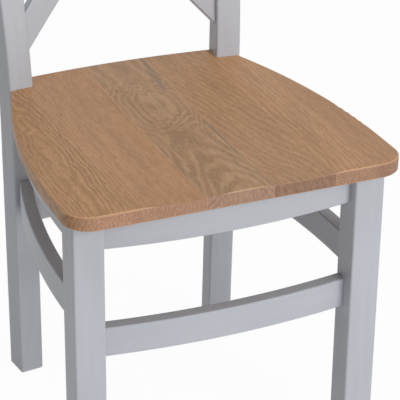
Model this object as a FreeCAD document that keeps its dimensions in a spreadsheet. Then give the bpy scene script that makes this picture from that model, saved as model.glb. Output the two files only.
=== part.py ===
import FreeCAD, Part
import math
import os
import re
import Sketcher

Vector = FreeCAD.Vector
# An edge this close to a height, in millimetres, lies at that height.
LEVEL_WITHIN = 0.01

# Cross back dining chair: painted legs, rails, crossed bars and crest, oak stave seat.
# The frame has its origin on the floor under the middle of the overall box, +Z up,
# the chair facing -Y. Heights run from the floor, depths from the front legs' front faces.

doc = FreeCAD.newDocument("cross_back_chair")
sheet = doc.addObject("Spreadsheet::Sheet", "Sizes")

# Driving sizes in millimetres and degrees.
driving = [
    ("seat_height", 465, "top of the seat above the floor"),
    ("seat_thickness", 20, "seat board"),
    ("seat_overhang", 34, "front edge of the seat ahead of the front legs"),
    ("seat_half_width", 229.6, "half the widest width of the seat"),
    ("seat_corner_radius", 36, "front corners of the seat"),
    ("seat_straight_depth", 48, "depth at which the sides start to draw in"),
    ("seat_back_margin", 47.5, "rear edge at the middle behind the back legs' knee line"),
    ("seat_back_radius", 1273, "curve of the rear edge of the seat"),
    ("seat_top_round", 2.5, "round on the upper edge of the seat"),
    ("seat_under_ease", 1.5, "chamfer on the lower edge of the seat"),
    ("hollow_depth", 4.4, "the two thigh hollows of the seat at their lowest place"),
    ("hollow_back", 150, "lowest place of a hollow behind the front edge"),
    ("hollow_side", 75, "lowest place of a hollow beside the middle of the seat"),
    ("hollow_half_length", 250, "way from the lowest place to the rear end of a hollow"),
    ("hollow_half_width", 74, "way from the lowest place to the side of a hollow"),
    ("front_leg_inset", 13.6, "outer face of a front leg inside the seat's widest edge"),
    ("leg_side", 42, "square section of a front leg"),
    ("leg_round", 3, "round on the long edges of the legs"),
    ("back_leg_inset", 56.2, "outer face line of a back leg inside the seat's widest edge"),
    ("back_leg_depth", 364.5, "depth of the front face line at the knee"),
    ("back_leg_width", 35.5, "width of a back leg"),
    ("back_yaw", 7, "turn of a back leg about the upright, front face inward"),
    ("knee_above_seat", 20, "place where the two front face lines cross"),
    ("foot_rake", 1.15, "backward rake of the leg below the knee"),
    ("back_lean", 8.53, "backward lean of the upright above the knee"),
    ("front_bend_radius", 882, "bend of the front face at the knee"),
    ("foot_depth", 40, "depth of a back leg at the floor"),
    ("rear_rake", 1.0, "rake of the rear face below the knee"),
    ("rear_lean", 7.9, "lean of the rear face above the knee"),
    ("rear_bend_radius", 1200, "bend of the rear face at the knee"),
    ("upright_top_depth", 29.5, "depth of the upright at its shoulder"),
    ("shoulder_above_seat", 457, "top of the uprights at their front faces"),
    ("splay_below_seat", 35, "place where the two outer face lines cross"),
    ("foot_splay", 0.48, "outward lean of the back leg below the seat"),
    ("upright_splay", 1.15, "outward lean of the upright above the seat"),
    ("splay_bend_radius", 8500, "bend of the outer and inner faces"),
    ("apron_height", 54, "aprons"),
    ("apron_thickness", 20, "aprons"),
    ("front_apron_setback", 15, "ends of the front apron behind the leg faces"),
    ("front_apron_bow", 15.6, "forward bow of the front apron"),
    ("side_apron_inset", 13, "side apron inside the front leg's outer face"),
    ("stretcher_height", 42, "stretchers"),
    ("stretcher_thickness", 19, "stretchers"),
    ("front_stretcher_bottom", 232, "lower edge"),
    ("front_stretcher_setback", 20, "ends of the front stretcher behind the leg faces"),
    ("front_stretcher_bow", 13.5, "forward bow of the front stretcher"),
    ("side_stretcher_bottom", 281, "lower edge"),
    ("side_stretcher_inset", 10.3, "side stretcher inside the front leg's outer face"),
    ("rear_stretcher_bottom", 249, "lower edge"),
    ("side_rail_back_inset", 8, "side rails inside the back leg's outer edge"),
    ("side_rail_bow", 12.8, "outward bow of the side rails"),
    ("rear_rail_setback", 8, "rear rails behind the back leg's front face"),
    ("rail_ease", 1.2, "chamfer on the long edges of the rails"),
    ("bar_round", 1.5, "round on the long edges of the crossed bars"),
    ("bar_width", 36, "crossed bars"),
    ("bar_thickness", 19.5, "crossed bars"),
    ("bar_setback", 8, "crossed bars behind the upright's front face"),
    ("bar_bow", 20, "backward bow of the crossed bars"),
    ("bar_foot_above_seat", 73, "middle of a bar's lower end"),
    ("bar_head_below_crest", 40.5, "middle of a bar's upper end"),
    ("crest_height", 62, "crest rail at its ends"),
    ("crest_arch", 13, "rise of the crest rail at the middle"),
    ("crest_thickness", 28, "crest rail"),
    ("crest_half_length", 200, "half the length of the crest rail"),
    ("crest_corner_radius", 14, "upper corners of the crest rail"),
    ("crest_round", 3, "round on the edges of the crest rail"),
    ("dowel_diameter", 8, "dowels of rails and crest"),
    ("dowel_length", 30, "dowels of rails and crest"),
    ("bar_dowel_diameter", 6, "dowels of the crossed bars"),
    ("bar_dowel_length", 24, "dowels of the crossed bars"),
    ("dowel_step", 9, "stagger between dowels of neighbouring rails"),
    ("crest_dowel_half_gap", 8, "half the spacing of the two crest dowels"),
    ("block_height", 30, "corner blocks below the seat"),
    ("front_block_run", 79, "corner block along the front apron from the leg"),
    ("front_block_reach", 70, "corner block along the side apron behind the leg"),
    ("rear_block_run", 80, "rear corner block along the rear apron"),
    ("rear_block_reach", 76, "rear corner block along the side apron"),
    ("screw_diameter", 4, "screws of blocks and seat"),
    ("screw_head_diameter", 8, "countersunk heads"),
    ("screw_head_depth", 2.6, "countersunk heads"),
    ("screw_slot_depth", 1.6, "socket in the screw heads"),
    ("screw_slot_diameter", 2.8, "socket in the screw heads"),
    ("block_screw_length", 58, "screw through a corner block into the leg"),
    ("block_screw_drop", 8, "block screw below the seat underside"),
    ("seat_screw_length", 42, "screw through a corner block into the seat"),
    ("seat_screw_offset", 16, "seat screw beside the block screw"),
    ("blank_margin", 60, "allowance of the sawn blanks"),
    ("stave_ratio_one", -0.664, "glue joint of the seat against its half width"),
    ("stave_ratio_two", -0.224, "glue joint of the seat against its half width"),
    ("stave_ratio_three", 0.174, "glue joint of the seat against its half width"),
    ("stave_ratio_four", 0.549, "glue joint of the seat against its half width"),
    ("stave_ratio_five", 0.795, "glue joint of the seat against its half width"),
]

# Fits worked out from the sizes above.
derived = [
    ("foot_chamfer", "0.8 * leg_round"),
    ("seat_under", "seat_height - seat_thickness"),
    ("knee_height", "seat_height + knee_above_seat"),
    ("splay_height", "seat_height - splay_below_seat"),
    ("shoulder_height", "seat_height + shoulder_above_seat"),
    ("bar_foot_height", "seat_height + bar_foot_above_seat"),
    ("apron_bottom", "seat_under - apron_height"),
    ("front_half_width", "seat_half_width - front_leg_inset"),
    ("back_leg_x", "seat_half_width - back_leg_inset"),
    ("front_clear_half", "front_half_width - leg_side"),
    ("shoulder_rise", "shoulder_height - knee_height"),
    ("blank_top", "shoulder_height + blank_margin / 2"),
    # The back leg's side outline, in the leg's own turned frame.
    ("front_bend_run", "front_bend_radius * tan((back_lean + foot_rake) / 2)"),
    ("front_low_z", "knee_height - front_bend_run * cos(foot_rake)"),
    ("front_low_y", "front_bend_run * sin(foot_rake)"),
    ("front_high_z", "knee_height + front_bend_run * cos(back_lean)"),
    ("front_high_y", "front_bend_run * sin(back_lean)"),
    ("front_foot_y", "knee_height * tan(foot_rake)"),
    ("front_top_y", "(blank_top - knee_height) * tan(back_lean)"),
    ("rear_foot_y", "front_foot_y + foot_depth"),
    ("rear_shoulder_y", "shoulder_rise * tan(back_lean) + upright_top_depth * cos(back_lean)"),
    ("rear_shoulder_z", "shoulder_height - upright_top_depth * sin(back_lean)"),
    ("rear_knee_z", "(rear_foot_y - rear_shoulder_y + rear_shoulder_z * tan(rear_lean))"
                    " / (tan(rear_lean) + tan(rear_rake))"),
    ("rear_knee_y", "rear_foot_y - rear_knee_z * tan(rear_rake)"),
    ("rear_bend_run", "rear_bend_radius * tan((rear_lean + rear_rake) / 2)"),
    ("rear_low_z", "rear_knee_z - rear_bend_run * cos(rear_rake)"),
    ("rear_low_y", "rear_knee_y + rear_bend_run * sin(rear_rake)"),
    ("rear_high_z", "rear_knee_z + rear_bend_run * cos(rear_lean)"),
    ("rear_high_y", "rear_knee_y + rear_bend_run * sin(rear_lean)"),
    ("rear_top_y", "rear_knee_y + (blank_top - rear_knee_z) * tan(rear_lean)"),
    # The back leg's front outline: outer face line, shifted by blank_margin to stay positive.
    ("splay_bend_run", "splay_bend_radius * tan((upright_splay - foot_splay) / 2)"),
    ("splay_low_z", "splay_height - splay_bend_run * cos(foot_splay)"),
    ("splay_high_z", "splay_height + splay_bend_run * cos(upright_splay)"),
    ("outer_foot_x", "blank_margin - splay_height * tan(foot_splay)"),
    ("outer_low_x", "blank_margin - splay_bend_run * sin(foot_splay)"),
    ("outer_high_x", "blank_margin + splay_bend_run * sin(upright_splay)"),
    ("outer_top_x", "blank_margin + (blank_top - splay_height) * tan(upright_splay)"),
    ("inner_foot_x", "outer_foot_x - back_leg_width"),
    ("inner_low_x", "outer_low_x - back_leg_width"),
    ("inner_high_x", "outer_high_x - back_leg_width"),
    ("inner_top_x", "outer_top_x - back_leg_width"),
    ("blank_width", "2 * blank_margin"),
    # The leaning plane of crest and bars, through the uprights' front faces at the shoulder.
    ("back_plane_lean", "atan(tan(back_lean) * cos(back_yaw))"),
    ("shoulder_local_x", "(shoulder_height - splay_height) * tan(upright_splay) - back_leg_width / 2"),
    ("shoulder_local_y", "shoulder_rise * tan(back_lean)"),
    ("shoulder_x", "back_leg_x + shoulder_local_x * cos(back_yaw) + shoulder_local_y * sin(back_yaw)"),
    ("shoulder_depth", "back_leg_depth - shoulder_local_x * sin(back_yaw)"
                       " + shoulder_local_y * cos(back_yaw)"),
    ("crest_radius", "shoulder_x / sin(back_yaw)"),
    ("crest_bow", "crest_radius * (1 - cos(back_yaw))"),
    ("crest_arch_radius", "(crest_half_length^2 + crest_arch^2) / (2 * crest_arch)"),
    ("back_reach", "shoulder_depth"
                   " + (crest_bow + crest_thickness - crest_round) * cos(back_plane_lean)"
                   " + (crest_height + crest_arch - crest_round) * sin(back_plane_lean)"
                   " + crest_round"),
    # Depth of the front legs' front faces in the frame, which centres the overall box.
    ("face_y", "(seat_overhang - back_reach) / 2"),
    # Front rails.
    ("front_apron_radius", "(front_clear_half^2 + front_apron_bow^2) / (2 * front_apron_bow)"),
    ("front_apron_centre_y", "face_y + front_apron_setback - front_apron_bow + front_apron_radius"),
    ("front_stretcher_radius", "(front_clear_half^2 + front_stretcher_bow^2)"
                               " / (2 * front_stretcher_bow)"),
    ("front_stretcher_centre_y", "face_y + front_stretcher_setback - front_stretcher_bow"
                                 " + front_stretcher_radius"),
    ("front_apron_mid", "(apron_bottom + seat_under) / 2"),
    ("front_stretcher_mid", "front_stretcher_bottom + stretcher_height / 2"),
    # Seat outline.
    ("seat_front_y", "face_y - seat_overhang"),
    ("seat_corner_x", "seat_half_width - seat_corner_radius"),
    ("seat_corner_y", "seat_front_y + seat_corner_radius"),
    ("seat_side_y", "face_y + seat_straight_depth"),
    # The side curve runs from the straight part to the upright's outer front corner.
    ("seat_side_radius", "(back_leg_inset^2 + (back_leg_depth - seat_straight_depth)^2)"
                         " / (2 * back_leg_inset)"),
    ("seat_side_end_depth", "back_leg_depth + foot_depth / 5"),
    ("seat_back_depth", "back_leg_depth + seat_back_margin"),
    ("seat_side_end_y", "face_y + seat_side_end_depth"),
    ("seat_side_end_x", "seat_half_width - seat_side_radius"
                        " + sqrt(seat_side_radius^2 - (seat_side_end_depth - seat_straight_depth)^2)"),
    ("seat_back_x", "back_leg_x - 2 * back_leg_width / 3"),
    ("seat_back_y", "face_y + seat_back_depth - seat_back_radius"
                    " + sqrt(seat_back_radius^2 - seat_back_x^2)"),
    # A hollow is cut by a wheel standing across the seat, with a round tread.
    ("hollow_tread_radius", "(hollow_half_width^2 + hollow_depth^2) / (2 * hollow_depth)"),
    ("hollow_wheel_radius", "(hollow_half_length^2 + hollow_depth^2) / (2 * hollow_depth)"),
    # Crossed bars, in the leaning plane.
    ("bar_end_local_x", "(bar_foot_height - splay_height) * tan(upright_splay) - back_leg_width"),
    ("bar_end_local_y", "(bar_foot_height - knee_height) * tan(back_lean)"
                        " + bar_setback + bar_thickness / 2"),
    ("bar_end_x", "back_leg_x + bar_end_local_x * cos(back_yaw) + bar_end_local_y * sin(back_yaw)"),
    ("bar_top_height", "shoulder_height - bar_head_below_crest"),
    ("bar_top_local_x", "(bar_top_height - splay_height) * tan(upright_splay) - back_leg_width"),
    ("bar_top_local_y", "(bar_top_height - knee_height) * tan(back_lean)"
                        " + bar_setback + bar_thickness / 2"),
    ("bar_top_x", "back_leg_x + bar_top_local_x * cos(back_yaw) + bar_top_local_y * sin(back_yaw)"),
    ("bar_blank_low_x", "bar_end_x + back_leg_width / 6"),
    ("bar_blank_high_x", "bar_top_x + back_leg_width / 6"),
    ("bar_end_y", "bar_setback + back_leg_width / 2 * sin(back_yaw)"),
    ("bar_radius", "(bar_end_x^2 + bar_bow^2) / (2 * bar_bow)"),
    ("bar_drop", "(shoulder_height - bar_foot_height - bar_end_y * sin(back_plane_lean))"
                 " / cos(back_plane_lean)"),
    ("bar_rise", "(bar_top_height - bar_foot_height) / cos(back_plane_lean)"),
    ("bar_angle", "atan(bar_rise / (bar_end_x + bar_top_x))"),
    ("bar_half_rise", "bar_width / 2 / cos(bar_angle)"),
    ("bar_low_drop", "bar_drop + (bar_blank_low_x - bar_end_x) * tan(bar_angle)"),
    ("bar_high_drop", "bar_drop - (bar_blank_high_x + bar_end_x) * tan(bar_angle)"),
    ("bar_low_under", "bar_low_drop + bar_half_rise"),
    ("bar_low_over", "bar_low_drop - bar_half_rise"),
    ("bar_high_under", "bar_high_drop + bar_half_rise"),
    ("bar_high_over", "bar_high_drop - bar_half_rise"),
    ("bar_mid_radius", "bar_radius + bar_thickness / 2"),
    ("bar_rear_radius", "bar_radius + bar_thickness"),
    ("bar_centre_y", "blank_margin + bar_end_y + bar_bow - bar_radius"),
    ("crest_centre_y", "blank_margin + crest_bow - crest_radius"),
    ("crest_rear_radius", "crest_radius + crest_thickness"),
    ("plan_half", "crest_half_length + blank_margin / 4"),
    ("plan_depth", "3 * blank_margin"),
    ("bar_plan_front_y", "bar_centre_y + sqrt(bar_radius^2 - plan_half^2)"),
    ("bar_plan_rear_y", "bar_centre_y + sqrt(bar_rear_radius^2 - plan_half^2)"),
    ("crest_plan_front_y", "crest_centre_y + sqrt(crest_radius^2 - plan_half^2)"),
    ("crest_plan_rear_y", "crest_centre_y + sqrt(crest_rear_radius^2 - plan_half^2)"),
    ("bar_top_drop", "bar_drop - bar_rise"),
    ("bar_low_mid_y", "bar_end_y + bar_thickness / 2"),
    ("bar_high_mid_y", "bar_end_y + bar_bow - bar_radius"
                       " + sqrt((bar_radius + bar_thickness / 2)^2 - bar_top_x^2)"),
    ("middle_roll_y", "face_y + shoulder_depth + (bar_end_y + bar_bow - bar_radius)"
                      " * cos(back_plane_lean) - shoulder_height * sin(back_plane_lean)"),
    ("middle_roll_z", "shoulder_height - (bar_end_y + bar_bow - bar_radius)"
                      " * sin(back_plane_lean) - shoulder_height * cos(back_plane_lean)"),
    ("slot_radius", "screw_slot_diameter / 2"),
    ("head_radius", "screw_head_diameter / 2"),
    ("shank_radius", "screw_diameter / 2"),
    ("plane_base_y", "face_y + shoulder_depth - blank_margin * cos(back_plane_lean)"),
    ("plane_base_z", "shoulder_height + blank_margin * sin(back_plane_lean)"),
]

# Side rails: the outer face is an arc between the front leg and the back leg.
for rail, middle, inset in (
    ("side_apron", "(apron_bottom + seat_under) / 2", "side_apron_inset"),
    ("side_stretcher", "(side_stretcher_bottom + stretcher_height / 2)", "side_stretcher_inset"),
):
    derived += [
        (f"{rail}_mid", middle),
        (f"{rail}_front_x", f"front_half_width - {inset}"),
        (f"{rail}_local_x", f"-(splay_height - {rail}_mid) * tan(foot_splay) - side_rail_back_inset"),
        (f"{rail}_local_y", f"(knee_height - {rail}_mid) * tan(foot_rake)"),
        (f"{rail}_back_x", f"back_leg_x + {rail}_local_x * cos(back_yaw)"
                           f" + {rail}_local_y * sin(back_yaw)"),
        (f"{rail}_back_depth", f"back_leg_depth - {rail}_local_x * sin(back_yaw)"
                               f" + {rail}_local_y * cos(back_yaw)"),
        (f"{rail}_run", f"{rail}_back_depth - leg_side"),
        (f"{rail}_draw", f"{rail}_front_x - {rail}_back_x"),
        (f"{rail}_chord", f"sqrt({rail}_run^2 + {rail}_draw^2)"),
        (f"{rail}_turn", f"atan({rail}_draw / {rail}_run)"),
        (f"{rail}_radius", f"({rail}_chord^2 / 4 + side_rail_bow^2) / (2 * side_rail_bow)"),
        (f"{rail}_centre_x", f"({rail}_front_x + {rail}_back_x) / 2"
                             f" - ({rail}_radius - side_rail_bow) * cos({rail}_turn)"),
        (f"{rail}_centre_y", f"face_y + (leg_side + {rail}_back_depth) / 2"
                             f" - ({rail}_radius - side_rail_bow) * sin({rail}_turn)"),
    ]

# Rear rails: bowed back, square to the turned back legs.
for rail, middle in (
    ("rear_apron", "(apron_bottom + seat_under) / 2"),
    ("rear_stretcher", "(rear_stretcher_bottom + stretcher_height / 2)"),
):
    derived += [
        (f"{rail}_mid", middle),
        (f"{rail}_local_x", f"-(splay_height - {rail}_mid) * tan(foot_splay) - back_leg_width"),
        (f"{rail}_local_y", f"(knee_height - {rail}_mid) * tan(foot_rake) + rear_rail_setback"),
        (f"{rail}_end_x", f"back_leg_x + {rail}_local_x * cos(back_yaw)"
                          f" + {rail}_local_y * sin(back_yaw)"),
        (f"{rail}_end_depth", f"back_leg_depth - {rail}_local_x * sin(back_yaw)"
                              f" + {rail}_local_y * cos(back_yaw)"),
        (f"{rail}_radius", f"{rail}_end_x / sin(back_yaw)"),
        (f"{rail}_centre_y", f"face_y + {rail}_end_depth - {rail}_radius * cos(back_yaw)"),
    ]

# Corner blocks and their screws.
derived += [
    ("block_bottom", "seat_under - block_height"),
    ("block_screw_z", "seat_under - block_screw_drop"),
    ("front_block_leg_x", "front_half_width - leg_side / 2"),
    ("front_block_leg_y", "face_y + leg_side / 2"),
    ("front_block_run_x", "front_clear_half - front_block_run"),
    ("front_block_run_y", "front_apron_centre_y"
                          " - sqrt((front_apron_radius - apron_thickness / 2)^2 - front_block_run_x^2)"),
    ("front_block_reach_y", "face_y + leg_side + front_block_reach"),
    ("front_block_reach_x", "side_apron_centre_x + sqrt((side_apron_radius - apron_thickness / 2)^2"
                            " - (front_block_reach_y - side_apron_centre_y)^2)"),
    ("rear_block_leg_x", "back_leg_x - back_leg_width / 2 * cos(back_yaw)"
                         " + foot_depth / 2 * sin(back_yaw)"),
    ("rear_block_leg_y", "face_y + back_leg_depth + back_leg_width / 2 * sin(back_yaw)"
                         " + foot_depth / 2 * cos(back_yaw)"),
    ("rear_block_run_x", "rear_apron_end_x - rear_block_run"),
    ("rear_block_run_y", "rear_apron_centre_y"
                         " + sqrt((rear_apron_radius + apron_thickness / 2)^2 - rear_block_run_x^2)"),
    ("rear_block_reach_y", "face_y + side_apron_back_depth - rear_block_reach"),
    ("rear_block_reach_x", "side_apron_centre_x + sqrt((side_apron_radius - apron_thickness / 2)^2"
                           " - (rear_block_reach_y - side_apron_centre_y)^2)"),
]
for corner in ("front", "rear"):
    run_x, run_y = f"{corner}_block_run_x", f"{corner}_block_run_y"
    reach_x, reach_y = f"{corner}_block_reach_x", f"{corner}_block_reach_y"
    derived += [
        (f"{corner}_block_face", f"sqrt(({reach_x} - {run_x})^2 + ({reach_y} - {run_y})^2)"),
        # Unit vector along the slanting face and the one square to it, pointing at the leg.
        (f"{corner}_face_x", f"({reach_x} - {run_x}) / {corner}_block_face"),
        (f"{corner}_face_y", f"({reach_y} - {run_y}) / {corner}_block_face"),
        (f"{corner}_screw_x", f"({reach_x} + {run_x}) / 2"),
        (f"{corner}_screw_y", f"({reach_y} + {run_y}) / 2"),
    ]
derived += [
    (f"stave_joint_{count}", f"seat_half_width * stave_ratio_{count}")
    for count in ("one", "two", "three", "four", "five")
]
derived += [
    ("front_way_x", "front_face_y"),
    ("front_way_y", "-front_face_x"),
    ("rear_way_x", "-rear_face_y"),
    ("rear_way_y", "rear_face_x"),
]
for corner in ("front", "rear"):
    derived += [
        (f"{corner}_seat_screw_x", f"{corner}_screw_x + {corner}_way_x * seat_screw_offset"
                                   f" - {corner}_face_x * seat_screw_offset"),
        (f"{corner}_seat_screw_y", f"{corner}_screw_y + {corner}_way_y * seat_screw_offset"
                                   f" - {corner}_face_y * seat_screw_offset"),
    ]

row = 1
for name, number, note in driving:
    sheet.set(f"A{row}", name)
    sheet.set(f"B{row}", str(number))
    sheet.set(f"C{row}", note)
    sheet.setAlias(f"B{row}", name)
    row += 1
for name, formula in derived:
    sheet.set(f"A{row}", name)
    sheet.set(f"B{row}", "=" + formula)
    sheet.setAlias(f"B{row}", name)
    row += 1
doc.recompute()

names = {entry[0] for entry in driving} | {entry[0] for entry in derived}


def size(name):
    value = sheet.get(name)
    return float(getattr(value, "Value", value))


def linked(formula):
    """Write the sheet's name before every size used in a formula."""
    return re.sub(r"[a-z][a-z_]*", lambda found: "Sizes." + found[0]
                  if found[0] in names else found[0], formula)


def bind(piece, **properties):
    for name, formula in properties.items():
        piece.setExpression(name, linked(formula))


def place(piece, x="0", y="0", z="0", axis="0; 0; 1", angle="0"):
    piece.setExpression("Placement", linked(
        f"placement(vector({x}; {y}; {z}); rotation(vector({axis}); {angle}))"))


def make_body(name):
    return doc.addObject("PartDesign::Body", name)


def make_sketch(body, role, name):
    sketch = body.newObject("Sketcher::SketchObject", name)
    plane = next(item for item in body.Origin.OriginFeatures if item.Role == role)
    sketch.AttachmentSupport = (plane, [""])
    sketch.MapMode = "FlatFace"
    return sketch


def coordinate(text):
    if text == "0":
        return 0.0
    return -size(text[1:]) if text.startswith("-") else size(text)


def pin(sketch, kind, axis, segment, place_on, text):
    """Hold one coordinate of a point at a size of the sheet."""
    if text == "0":
        sketch.addConstraint(Sketcher.Constraint("PointOnObject", segment, place_on, axis))
        return
    value = coordinate(text)
    bare = text.lstrip("-")
    if value < 0:
        number = sketch.addConstraint(
            Sketcher.Constraint(kind, segment, place_on, -1, 1, -value))
        formula = bare if text.startswith("-") else "-" + bare
    else:
        number = sketch.addConstraint(
            Sketcher.Constraint(kind, -1, 1, segment, place_on, value))
        formula = "-" + bare if text.startswith("-") else bare
    sketch.setExpression(f"Constraints[{number}]", linked(formula))


def add_outline(sketch, points, arcs=None):
    """Closed outline. arcs gives, by the number of its first point, (radius, side):
    side 1 bulges to the right of the way from point to point, side -1 to the left."""
    arcs = arcs or {}
    spots = [Vector(coordinate(x), coordinate(y), 0) for x, y in points]
    segments = []
    for number, start in enumerate(spots):
        end = spots[(number + 1) % len(spots)]
        if number in arcs:
            radius, side = size(arcs[number][0]), arcs[number][1]
            chord = end - start
            half = chord.Length / 2
            rise = radius - math.sqrt(radius ** 2 - half ** 2)
            right = Vector(chord.y, -chord.x, 0) / chord.Length
            middle = (start + end) / 2 + right * (rise * side)
            if side > 0:
                segment = sketch.addGeometry(Part.Arc(start, middle, end), False)
                segments.append((segment, 1, 2))
            else:
                segment = sketch.addGeometry(Part.Arc(end, middle, start), False)
                segments.append((segment, 2, 1))
        else:
            segment = sketch.addGeometry(Part.LineSegment(start, end), False)
            segments.append((segment, 1, 2))
    for number, (segment, first, last) in enumerate(segments):
        following, follow_first, _ = segments[(number + 1) % len(segments)]
        sketch.addConstraint(
            Sketcher.Constraint("Coincident", segment, last, following, follow_first))
        pin(sketch, "DistanceX", -2, segment, first, points[number][0])
        pin(sketch, "DistanceY", -1, segment, first, points[number][1])
        if number in arcs:
            held = sketch.addConstraint(
                Sketcher.Constraint("Radius", segment, size(arcs[number][0])))
            sketch.setExpression(f"Constraints[{held}]", linked(arcs[number][0]))


def pad(body, sketch, name, length, midplane=False, reverse=False):
    feature = body.newObject("PartDesign::Pad", name)
    feature.Profile = sketch
    feature.Midplane = midplane
    feature.Reversed = reverse
    bind(feature, Length=length)
    sketch.Visibility = False
    doc.recompute()
    return feature


def ease(body, base, name, kind, measure, chosen):
    """Fillet or chamfer the edges of the feature that the test picks."""
    feature = body.newObject("PartDesign::" + kind, name)
    picked = [f"Edge{number + 1}" for number, edge in enumerate(base.Shape.Edges) if chosen(edge)]
    feature.Base = (base, picked)
    if kind == "Fillet":
        bind(feature, Radius=measure)
    else:
        bind(feature, Size=measure)
    doc.recompute()
    return feature


def level(edge, height):
    box = edge.BoundBox
    return abs(box.ZMin - height) < LEVEL_WITHIN and abs(box.ZMax - height) < LEVEL_WITHIN


def boolean(kind, name, base, tool):
    piece = doc.addObject("Part::" + kind, name)
    piece.Base = base
    piece.Tool = tool
    return piece


def cut(name, base, *tools):
    for number, tool in enumerate(tools):
        base = boolean("Cut", f"{name}_cut_{number + 1}", base, tool)
    doc.recompute()
    return base


def mirror(name, source):
    piece = doc.addObject("Part::Mirroring", name)
    piece.Source = source
    piece.Normal = Vector(1, 0, 0)
    piece.Base = Vector(0, 0, 0)
    return piece


def group(name, members):
    piece = doc.addObject("Part::Compound", name)
    piece.Links = members
    return piece


def rounded(name, kind, base, measure, chosen):
    """Fillet or chamfer the edges of a finished shape that the test picks."""
    doc.recompute()
    piece = doc.addObject("Part::" + kind, name)
    piece.Base = base
    piece.Edges = [(number + 1, size(measure), size(measure))
                   for number, edge in enumerate(base.Shape.Edges) if chosen(edge)]
    doc.recompute()
    return piece


def box(name, x, y, z, length, width, height):
    piece = doc.addObject("Part::Box", name)
    bind(piece, Length=length, Width=width, Height=height)
    place(piece, x, y, z)
    return piece


def cylinder(name, radius, height, x, y, z, axis="0; 0; 1", angle="0"):
    piece = doc.addObject("Part::Cylinder", name)
    bind(piece, Radius=radius, Height=height)
    place(piece, x, y, z, axis, angle)
    return piece


def bowed_rail(name, outer, inner, centre_x, centre_y, bottom, height, limits, both_edges):
    """Board sawn to a curve: a ring between two radii, kept inside a box, edges rounded."""
    ring_outer = cylinder(name + "_outer", outer, height, centre_x, centre_y, bottom)
    ring_inner = cylinder(name + "_inner", inner, height, centre_x, centre_y, bottom)
    ring = boolean("Cut", name + "_ring", ring_outer, ring_inner)
    x, y, length, width = limits
    inside = box(name + "_limits", x, y, bottom, length, width, height)
    board = boolean("Common", name + "_board", ring, inside)
    doc.recompute()
    low, high = board.Shape.BoundBox.ZMin, board.Shape.BoundBox.ZMax
    return rounded(name + "_blank", "Chamfer", board, "rail_ease",
                   lambda edge: isinstance(edge.Curve, Part.Circle)
                   and (level(edge, low) or (both_edges and level(edge, high))))


# Front leg: square section, long edges rounded, foot chamfered.
front_leg_body = make_body("front_leg_blank")
sketch = make_sketch(front_leg_body, "XY_Plane", "front_leg_section")
add_outline(sketch, [("0", "0"), ("leg_side", "0"), ("leg_side", "leg_side"), ("0", "leg_side")])
feature = pad(front_leg_body, sketch, "front_leg_length", "seat_under")
feature = ease(front_leg_body, feature, "front_leg_edges", "Fillet", "leg_round",
               lambda edge: edge.BoundBox.ZLength > size("leg_side"))
ease(front_leg_body, feature, "front_leg_foot", "Chamfer", "foot_chamfer",
     lambda edge: level(edge, 0))
place(front_leg_body, "front_clear_half", "face_y")

# Back leg and upright: the side outline and the front outline of the same timber.
leg_place = ("back_leg_x - blank_margin * cos(back_yaw)",
             "face_y + back_leg_depth + blank_margin * sin(back_yaw)", "0", "0; 0; -1", "back_yaw")
side_plank = make_body("back_leg_side_plank")
sketch = make_sketch(side_plank, "YZ_Plane", "back_leg_side_outline")
add_outline(
    sketch,
    [("front_foot_y", "0"), ("rear_foot_y", "0"), ("rear_low_y", "rear_low_z"),
     ("rear_high_y", "rear_high_z"), ("rear_top_y", "blank_top"), ("front_top_y", "blank_top"),
     ("front_high_y", "front_high_z"), ("front_low_y", "front_low_z")],
    {2: ("rear_bend_radius", -1), 6: ("front_bend_radius", 1)},
)
pad(side_plank, sketch, "back_leg_side_pad", "blank_width")
place(side_plank, *leg_place)
front_plank = make_body("back_leg_front_plank")
sketch = make_sketch(front_plank, "XZ_Plane", "back_leg_front_outline")
add_outline(
    sketch,
    [("inner_foot_x", "0"), ("outer_foot_x", "0"), ("outer_low_x", "splay_low_z"),
     ("outer_high_x", "splay_high_z"), ("outer_top_x", "blank_top"), ("inner_top_x", "blank_top"),
     ("inner_high_x", "splay_high_z"), ("inner_low_x", "splay_low_z")],
    {2: ("splay_bend_radius", -1), 6: ("splay_bend_radius", 1)},
)
pad(front_plank, sketch, "back_leg_front_pad", "plan_depth", reverse=True)
place(front_plank, *leg_place)
back_leg_sawn = boolean("Common", "back_leg_sawn", side_plank, front_plank)
shoulder_cut = doc.addObject("Part::Box", "shoulder_cut")
bind(shoulder_cut, Length="2 * plan_half", Width="plan_depth", Height="blank_margin")
place(shoulder_cut, "0", "plane_base_y", "plane_base_z", "-1; 0; 0", "back_plane_lean")
back_leg_trimmed = boolean("Cut", "back_leg_trimmed", back_leg_sawn, shoulder_cut)
back_leg_eased = rounded("back_leg_eased", "Fillet", back_leg_trimmed, "leg_round",
                         lambda edge: edge.BoundBox.ZLength > size("leg_side"))
back_leg_blank = rounded("back_leg_blank", "Chamfer", back_leg_eased, "foot_chamfer",
                         lambda edge: level(edge, 0))

front_leg_pair = group("front_leg_pair", [front_leg_body, mirror("front_leg_mirrored", front_leg_body)])
back_leg_pair = group("back_leg_pair", [back_leg_blank, mirror("back_leg_mirrored", back_leg_blank)])

# Rails. Their ends reach into the legs' outlines and are cut to the leg faces below.
front_limits = ("-front_block_leg_x", "face_y - seat_overhang",
                "2 * front_block_leg_x", "seat_overhang + leg_side")
front_apron_blank = bowed_rail(
    "front_apron", "front_apron_radius", "front_apron_radius - apron_thickness", "0",
    "front_apron_centre_y", "apron_bottom", "apron_height", front_limits, False)
front_stretcher_blank = bowed_rail(
    "front_stretcher", "front_stretcher_radius", "front_stretcher_radius - stretcher_thickness",
    "0", "front_stretcher_centre_y", "front_stretcher_bottom", "stretcher_height",
    front_limits, True)


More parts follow.
